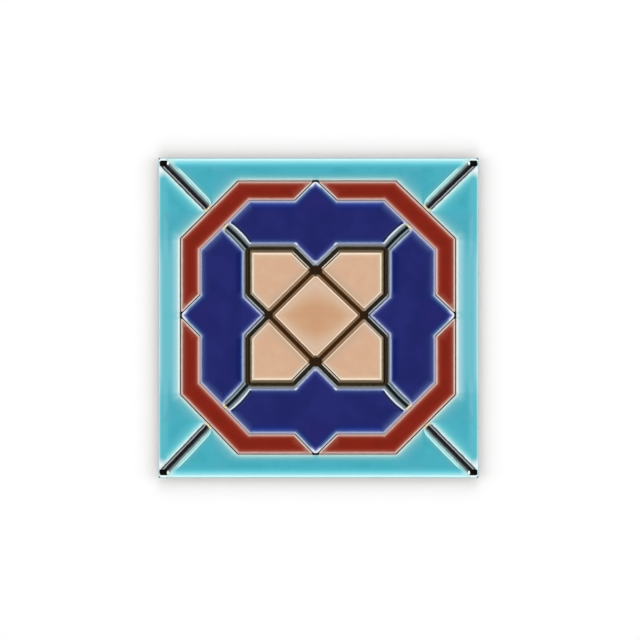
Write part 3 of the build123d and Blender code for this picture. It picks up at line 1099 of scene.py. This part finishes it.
def lines():
    """The bare lines between the pools: dark grooves, with paler ledges where each pool's glaze crept. The
    pale ledges and ridges and the near-white edges are partly painted highlight.
    """
    nodes = Nodes("manganese_lines", matt_veil)
    kite, diamond, panel, above, beside, band, to_tip, to_line, to_edge = [
        nodes.value_of("to_" + name)
        for name in ("kite", "diamond", "panel", "above", "beside", "band", "tip", "line", "edge")]
    groove = nodes.value_of("groove")
    wander = nodes.add(nodes.wander(0.3, 3.0), nodes.wander(0.3, 0.8, 0.43))

    def across(first, second, shift=0.0):
        """Place across a line in millimetres, from its middle, growing towards the second pool."""
        return nodes.add(nodes.add(nodes.times(nodes.less(first, second), 0.5), shift), wander)

    # Star lines, with a brown ledge by the kites and a grey one by the panels
    star = across(kite, panel)
    colour = nodes.ramp(star, [
        (-2.7, 160, 142, 120), (-2.4, 126, 108, 86), (-2, 107, 91, 71), (-1.5, 104, 91, 71),
        (-1.15, 88, 76, 58), (-0.85, 54, 43, 26), (-0.5, 48, 38, 22), (0.4, 50, 44, 28), (0.8, 70, 66, 54),
        (1.15, 100, 100, 93), (1.6, 124, 126, 131), (2.1, 126, 131, 141), (2.7, 132, 141, 168)])["Color"]
    colour = nodes.where("flat_upright", colour, star, [
        (-2.7, 250, 240, 214), (-2.4, 148, 134, 108), (-2, 132, 120, 99), (-1.6, 109, 99, 78),
        (-1.25, 70, 57, 39), (-0.95, 24, 12, 3), (-0.5, 32, 18, 6), (-0.05, 58, 44, 30), (0.4, 60, 48, 33),
        (0.9, 46, 38, 22), (1.3, 54, 49, 35), (1.7, 82, 82, 75), (2.1, 116, 120, 120), (2.7, 164, 173, 192)])

    # Notch lines. The thin dark line and the pale ridge lie by the kites above, by the panels beside
    slanted = nodes.ramp(star, [
        (-2.9, 70, 52, 32), (-2.6, 20, 10, 2), (-2.4, 84, 72, 58), (-2.1, 224, 212, 198),
        (-1.75, 206, 194, 178), (-1.48, 94, 85, 70), (-1.25, 12, 8, 2), (-0.5, 48, 45, 34), (0, 44, 44, 36),
        (0.5, 12, 14, 8), (0.85, 22, 26, 22), (1.1, 106, 112, 112), (1.4, 156, 162, 166),
        (2.1, 134, 142, 158), (2.8, 176, 184, 206)])["Color"]
    level = nodes.ramp(star, [
        (-2.7, 190, 171, 152), (-2.4, 154, 137, 122), (-2.1, 176, 159, 146), (-1.85, 150, 138, 124),
        (-1.6, 84, 74, 62), (-1.3, 26, 18, 9), (-0.6, 44, 38, 26), (-0.1, 42, 41, 32), (0.3, 18, 20, 12),
        (0.6, 40, 44, 39), (0.88, 142, 147, 148), (1.3, 188, 194, 200), (1.62, 106, 113, 127),
        (1.9, 34, 42, 58), (2.2, 48, 56, 86), (2.7, 212, 220, 252)])["Color"]
    level_share = nodes.level(nodes.less(above, beside), -1.0, 1.0)
    colour = nodes.at("notch", colour, nodes.mix(level_share, slanted, level))

    # Diamond lines, warm brown between two ledges with thin double edges
    colour = nodes.where("diamond", colour, across(diamond, kite, 0.15), [
        (-2.6, 208, 180, 154), (-2.35, 98, 70, 42), (-2.05, 110, 84, 58), (-1.65, 146, 120, 93),
        (-1.3, 114, 88, 62), (-0.95, 70, 44, 18), (-0.4, 58, 32, 8), (0.4, 58, 32, 8), (0.85, 68, 42, 16),
        (1.2, 94, 68, 42), (1.55, 142, 117, 91), (1.9, 168, 141, 116), (2.2, 144, 117, 91),
        (2.45, 120, 93, 66), (2.7, 148, 121, 96), (2.95, 208, 180, 154)])

    # Links from the star to the band
    colour = nodes.where("link", colour, across(beside, above), [
        (-3.2, 212, 226, 248), (-2.85, 172, 188, 208), (-2.45, 88, 103, 116), (-2.1, 56, 72, 82),
        (-1.75, 104, 120, 126), (-1.35, 152, 165, 172), (-1.05, 130, 144, 150), (-0.75, 74, 88, 93),
        (-0.45, 14, 25, 29), (0.35, 8, 19, 22), (0.8, 24, 36, 40), (1.2, 64, 76, 81), (1.6, 100, 111, 115),
        (2, 116, 128, 134), (2.4, 124, 136, 143), (2.8, 148, 159, 167), (3.2, 228, 238, 246)])

    # Corner lines, with a thin dark line and a pale ridge on their lower ledge. The pale ridge and the
    # near-white edges are partly painted highlight, as on the lit sides of a groove
    uneven = nodes.add(across(beside, above, -0.1), nodes.wander(0.5, 4.0, 0.19))
    colour = nodes.where("corner", colour, uneven, [
        (-3.1, 242, 255, 255), (-2.8, 142, 176, 180), (-2.5, 22, 42, 46), (-2.2, 24, 42, 46),
        (-1.95, 112, 122, 125), (-1.6, 180, 186, 189), (-1.3, 124, 130, 133), (-1, 42, 44, 48),
        (-0.7, 18, 18, 22), (0, 34, 32, 38), (0.5, 38, 39, 43), (0.9, 52, 56, 59), (1.25, 86, 97, 100),
        (1.6, 108, 125, 127), (2.1, 108, 132, 132), (2.5, 140, 174, 175), (2.85, 216, 252, 253)])

    # Dark knots where the lines meet at the diamond's tips
    knot = nodes.add(nodes.value_of("to_knot"), nodes.wander(0.25, 1.2, 0.67))
    mottled = nodes.mix(nodes.noise(1.3, 3.0, 0.6, 0.77), (38, 22, 9), (54, 40, 22))
    colour = nodes.mix(nodes.level(knot, 1.1, 0.82), colour, mottled)

    # Uneven colour along the grooves
    dark = nodes.level(nodes.noise(1.6, 3.0, 0.6, 0.29), 0.45, 0.7, 0.0, 0.45)
    colour = nodes.mix(nodes.times(dark, nodes.level(groove, 0.1, -0.3)), colour, (16, 10, 8))

    # Thin lines, a fine dark cut between pale rims, partly glaze that crept and partly painted highlight.
    # Places grow from the band outwards
    thin_place = nodes.add(nodes.less(band, thin_line_gap), nodes.wander(0.2, 1.6, 0.83))
    thin = nodes.ramp(thin_place, [
        (-0.65, 206, 170, 160), (-0.26, 184, 160, 152), (-0.1, 22, 14, 10), (0.18, 22, 16, 12),
        (0.34, 174, 188, 186), (0.65, 198, 220, 218)])["Color"]
    share = nodes.value_of("at_octagon_level")
    for family, stops in (
            ("octagon_upright", [
                (-0.65, 232, 206, 197), (-0.2, 214, 192, 182), (0, 14, 8, 6), (0.46, 14, 10, 8),
                (0.6, 206, 212, 211)]),
            ("octagon_cut", [
                (-0.65, 224, 192, 180), (-0.35, 204, 178, 168), (-0.2, 12, 6, 4), (0.3, 12, 8, 6),
                (0.46, 194, 206, 202)]),
            ("inner_level", [
                (-0.65, 204, 168, 160), (-0.1, 192, 162, 162), (0.1, 96, 84, 92), (0.35, 100, 92, 104),
                (0.5, 166, 166, 190)]),
            ("inner_upright", [
                (-0.65, 218, 184, 180), (-0.2, 202, 178, 178), (-0.05, 104, 92, 98), (0.12, 104, 94, 104),
                (0.3, 176, 176, 194)]),
            ("inner_cut", [
                (-0.65, 204, 172, 166), (-0.2, 192, 166, 166), (-0.05, 72, 60, 68), (0.12, 72, 62, 72),
                (0.28, 186, 180, 198)]),
            ("arrow", [
                (-0.65, 226, 204, 200), (-0.16, 212, 194, 192), (0, 10, 8, 14), (0.46, 10, 8, 14),
                (0.58, 172, 180, 194)])):
        thin = nodes.where(family, thin, thin_place, stops)
        share = nodes.add(share, nodes.value_of("at_" + family), True)
    tip = nodes.times(nodes.level(to_tip, 2.4, 1.8), nodes.level(to_line, 0.95, 0.65))
    colour = nodes.mix(share, colour, nodes.mix(tip, thin, (10, 10, 14)))

    # Cream ridge with small dark dots, where the wide lines end at the band
    dots = nodes.level(nodes.noise(0.9, 2.0, 0.5, 0.88), 0.58, 0.66, 0.0, 0.8)
    cream = nodes.mix(dots, (232, 218, 182), (70, 60, 50))
    end_place = nodes.add(band, wander)
    wide_end = nodes.times(nodes.level(end_place, 0.85, 1.05), nodes.level(end_place, 2.5, 2.1))
    wide_end = nodes.times(wide_end, nodes.level(nodes.math("MINIMUM", above, beside), 0.4, 0.9))
    wide_end = nodes.times(wide_end, nodes.level(to_tip, 5.0, 7.0))
    colour = nodes.mix(wide_end, colour, cream)

    # Along the tile's edges, painted shade on the edge round, then a near-white line, partly glaze and partly
    # painted highlight. The black cup in each corner, with a white painted highlight on it
    sides = nodes.from_sides()
    dry = nodes.math("MAXIMUM", nodes.level(groove, 0.0, 0.4), nodes.level(sides[0], 8.0, 6.5))
    rim = nodes.ramp(to_edge, [
        (0.35, 150, 174, 180), (0.6, 190, 212, 215), (0.9, 240, 250, 251), (1.7, 238, 249, 249),
        (2.2, 220, 236, 237, 0)])
    colour = nodes.mix(nodes.times(dry, rim["Alpha"]), colour, rim["Color"])
    cup = nodes.add(nodes.blob(sides, (3.4, 3.75), (2.5, 1.85), 5.0), nodes.wander(0.35, 0.9, 0.91))
    colour = nodes.mix(nodes.level(cup, 1.06, 0.96), colour, (6, 6, 7))
    # Painted highlight: a white glint on each corner's black cup
    painted_corner_glint = nodes.blob(sides, (6.15, 3.6), (0.6, 1.15))
    colour = nodes.mix(nodes.level(painted_corner_glint, 1.2, 0.75), colour, (248, 251, 251))
    speck = nodes.blob(sides, (0.7, 0.7), (0.75, 0.65))
    colour = nodes.mix(nodes.level(speck, 1.1, 0.8), colour, (24, 26, 28))

    grain = nodes.noise(0.5, 4.0, 0.65)
    colour = nodes.mix(nodes.level(grain, 0.45, 0.8, 0.0, 0.16), colour, (20, 18, 16))
    gloss = nodes.level(nodes.noise(1.5, 3.0, 0.6, 0.23), 0.3, 0.7, 0.6, 0.8)
    nodes.shader.inputs["Specular IOR Level"].default_value = 0.07
    return nodes.finish(colour, gloss, nodes.bump(grain, 0.05, 0.5))


def biscuit():
    """Fired body on the flank and the bed, with a lip of glaze that ran over the upper edge."""
    nodes = Nodes("fired_biscuit")
    speck = nodes.noise(0.8, 5.0, 0.7)
    cloud = nodes.level(nodes.noise(22.0, 4.0, 0.6), 0.3, 0.7)
    clay = nodes.mix(cloud, (142, 134, 126), (124, 116, 108))
    clay = nodes.mix(nodes.level(speck, 0.55, 0.8, 0.0, 0.35), clay, (98, 86, 74))
    height = nodes.add(nodes.split()["Z"], nodes.times(nodes.noise(5.0, 3.0, 0.6, 0.4), 1.6 * MM))
    lip = nodes.level(height, (ledge_z - 0.1) * MM, (ledge_z + 0.15) * MM)
    colour = nodes.mix(lip, clay, (182, 213, 218))
    return nodes.finish(colour, nodes.level(lip, 0.0, 1.0, 0.85, 0.12), nodes.bump(speck, 0.12, 0.6))


# Scene

tile = build_tile()
for material in (turquoise("above"), turquoise("beside"), red(), blue("above"), blue("beside"),
                 peach(), tan(), lines(), biscuit()):
    tile.data.materials.append(material)
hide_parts("tile")
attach(tile, "root")


def make_floor():
    """Pale floor, which shows as white to the camera and keeps the tile's shadow."""
    reach = 4.0
    drop = 0.2
    mesh = bpy.data.meshes.new("floor")
    corners = [(-reach, -reach, 0), (reach, -reach, 0), (reach, reach, 0), (-reach, reach, 0)]
    mesh.from_pydata(corners, [], [(0, 1, 2, 3)])
    floor = add_object("floor", mesh)
    floor.location.z = -drop * MM
    nodes = Nodes("floor_white")
    nodes.shader.inputs["Specular IOR Level"].default_value = 0.0
    mesh.materials.append(nodes.finish((251, 251, 251), 1.0))


def make_lights():
    """An even grey sky and four soft boxes, one over each side."""
    distance = 2.6
    elevation = math.radians(49)
    world = bpy.data.worlds.new("sky")
    bpy.context.scene.world = world
    world.use_nodes = True
    sky = world.node_tree.nodes["Background"]
    sky.inputs["Color"].default_value = (1, 1, 1, 1)
    sky.inputs["Strength"].default_value = 0.2
    for number in range(4):
        azimuth = math.pi / 2 * number
        lamp = bpy.data.lights.new("soft_box_%d" % number, "AREA")
        lamp.shape = "SQUARE"
        lamp.size = 1.8
        lamp.energy = 21.6
        box = add_object(lamp.name, lamp)
        flat = math.cos(elevation)
        place = Vector((math.cos(azimuth) * flat, math.sin(azimuth) * flat, math.sin(elevation)))
        box.location = place * distance
        box.rotation_euler = place.to_track_quat("Z", "Y").to_euler()


def make_camera():
    """Straight above, with a long lens. The tile's middle lies a pixel off the middle of the photograph."""
    mm_per_pixel = 0.6232
    tile_middle_pixel = (318.5, 317.92)
    frame_pixels = 640
    height = 2.4
    camera = bpy.data.cameras.new("camera")
    camera.sensor_fit = "HORIZONTAL"
    camera.angle = 2 * math.atan(frame_pixels / 2 * mm_per_pixel * MM / height)
    eye = add_object("camera", camera)
    eye.location = ((frame_pixels / 2 - tile_middle_pixel[0]) * mm_per_pixel * MM,
                    (tile_middle_pixel[1] - frame_pixels / 2) * mm_per_pixel * MM,
                    thickness * MM + height)
    bpy.context.scene.camera = eye


make_floor()
make_lights()
make_camera()
bpy.context.scene.view_settings.view_transform = "Standard"
